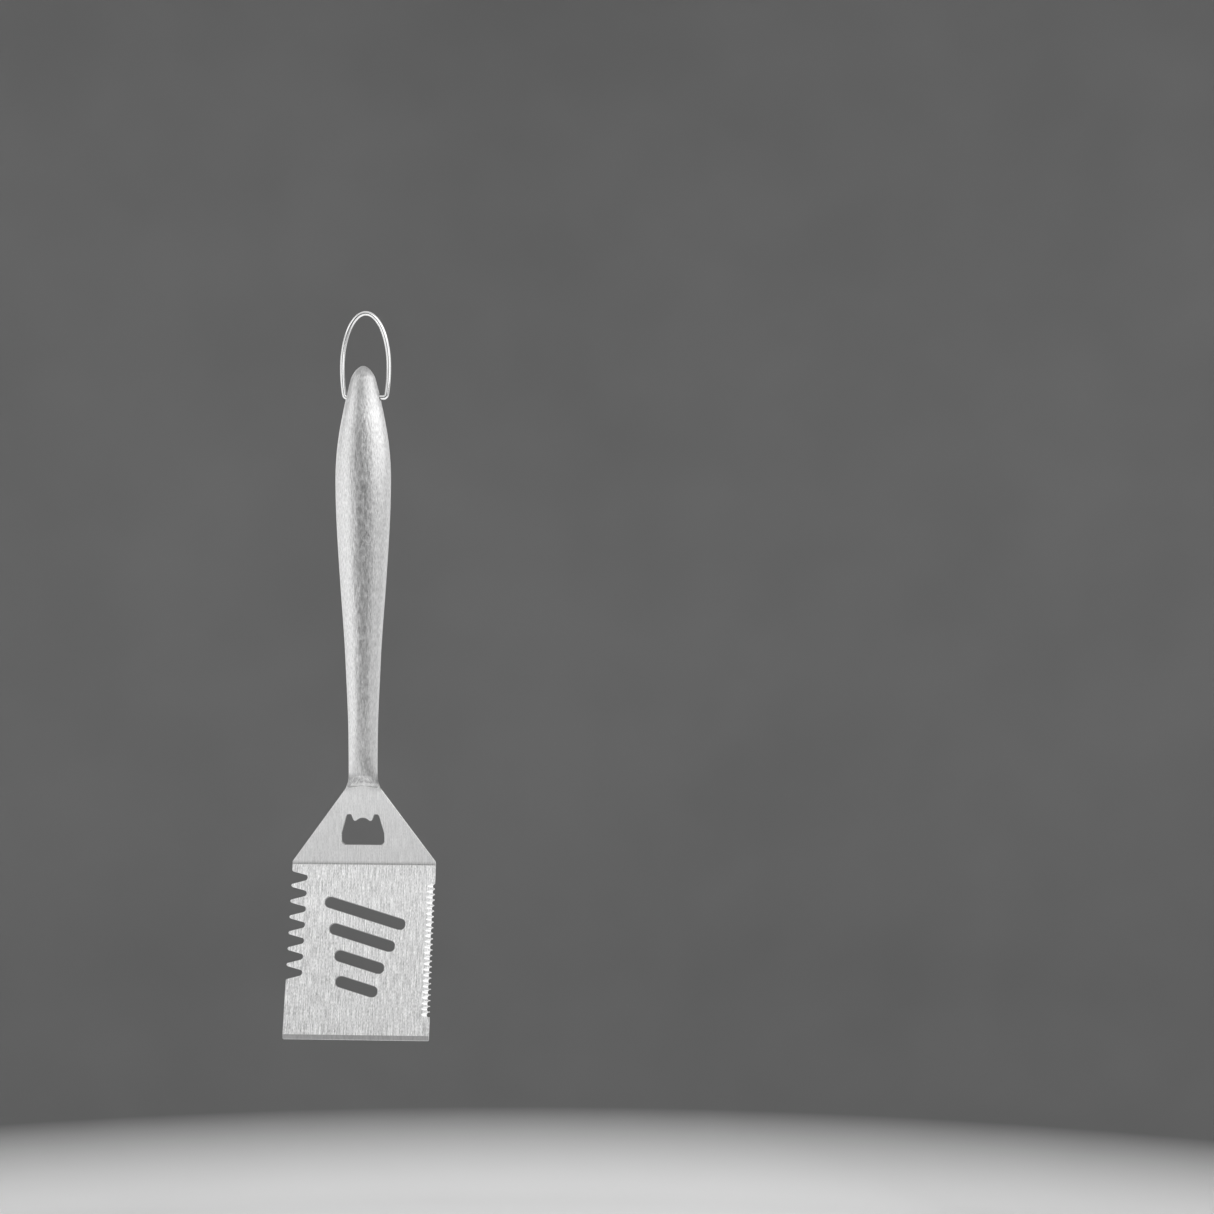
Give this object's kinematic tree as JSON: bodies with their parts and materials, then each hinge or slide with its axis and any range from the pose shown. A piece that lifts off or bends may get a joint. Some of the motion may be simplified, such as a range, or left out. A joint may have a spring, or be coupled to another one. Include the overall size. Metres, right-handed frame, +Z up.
{
  "type": "grill spatula",
  "caption": "Hanging steel grill spatula: hollow handle, wire loop, bent blade with slots, a toothed edge, a serrated edge, and a bottle opener in its shoulder.",
  "frame": {"origin": "top of the hanging loop's inside, where a hook carries the tool", "axes": "+Z up along the hanging tool from blade to loop, -Y out of the blade's front, +X to the right seen from the front"},
  "size_m": [0.0928, 0.035, 0.4626],
  "materials": {
    "brushed_blade": "sheet with a grain brushed along the tool",
    "satin_handle": "satin, hand polished along the handle",
    "ground_weld": "weld ground flush and blended",
    "polished_wire": "bright polished wire"
  },
  "bodies": {
    "hanging_loop": {"hanging_loop": "polished_wire"},
    "spatula": {"blade": "brushed_blade", "handle_front_shell": "satin_handle", "handle_back_shell": "satin_handle", "seam_weld_left": "ground_weld", "seam_weld_right": "ground_weld", "seam_weld_butt": "ground_weld", "neck_weld_front": "ground_weld", "neck_weld_back": "ground_weld", "loop_tube": "satin_handle"}
  },
  "joints": [
    {"name": "loop_swing", "type": "hinge", "parent": "hanging_loop", "child": "spatula", "pos_m": [0, 0, -0.0525], "axis": [1, 0, 0], "range_deg": [-115, 115]}
  ]
}
